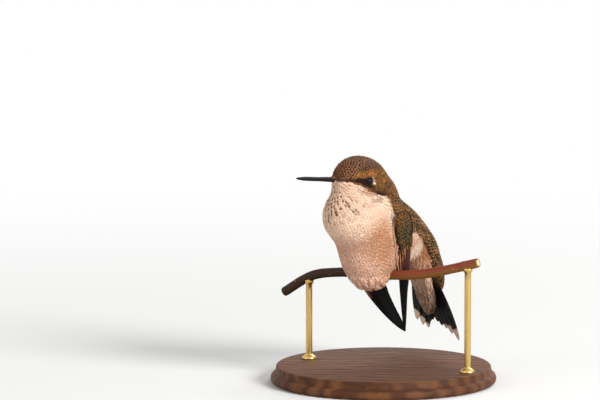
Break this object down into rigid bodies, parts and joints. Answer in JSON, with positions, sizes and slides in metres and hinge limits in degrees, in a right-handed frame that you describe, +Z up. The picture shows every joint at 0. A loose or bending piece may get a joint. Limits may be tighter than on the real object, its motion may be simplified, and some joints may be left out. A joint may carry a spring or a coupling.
{
  "type": "ruby-throated hummingbird, immature male, perched life-size model",
  "caption": "Life-size perched hummingbird with long thin bill, folded wings and fanned tail, gripping a cut stem held by rods over a round base.",
  "frame": {"origin": "middle of the base's underside", "axes": "+Z up, square to the base; the bird looks towards -X and -Y, with its body turned 40 degrees from -Y and its head 62 degrees"},
  "size_m": [0.076, 0.076, 0.0776],
  "materials": {
    "plumage": "soft body feathers, buff white below, bronze green with pale edges above",
    "flight_feathers": "stiff dark vanes with a faint gloss",
    "bill_horn": "smooth black horn",
    "eye": "wet, near black",
    "foot_skin": "dark scaled skin",
    "stem_bark": "smooth green stem, reddened on top",
    "base_wood": "turned, oiled walnut",
    "rod_brass": "drawn and brushed"
  },
  "bodies": {
    "root": {"head": "plumage", "neck": "plumage", "trunk": "plumage", "bill": "bill_horn", "eye_left": "eye", "eye_right": "eye", "tail": "flight_feathers", "wing_left": "flight_feathers", "wing_right": "flight_feathers", "foot_left": "foot_skin", "foot_right": "foot_skin", "perch": "stem_bark", "stand_base": "base_wood", "stand_rod_left": "rod_brass", "stand_rod_right": "rod_brass"}
  },
  "joints": []
}
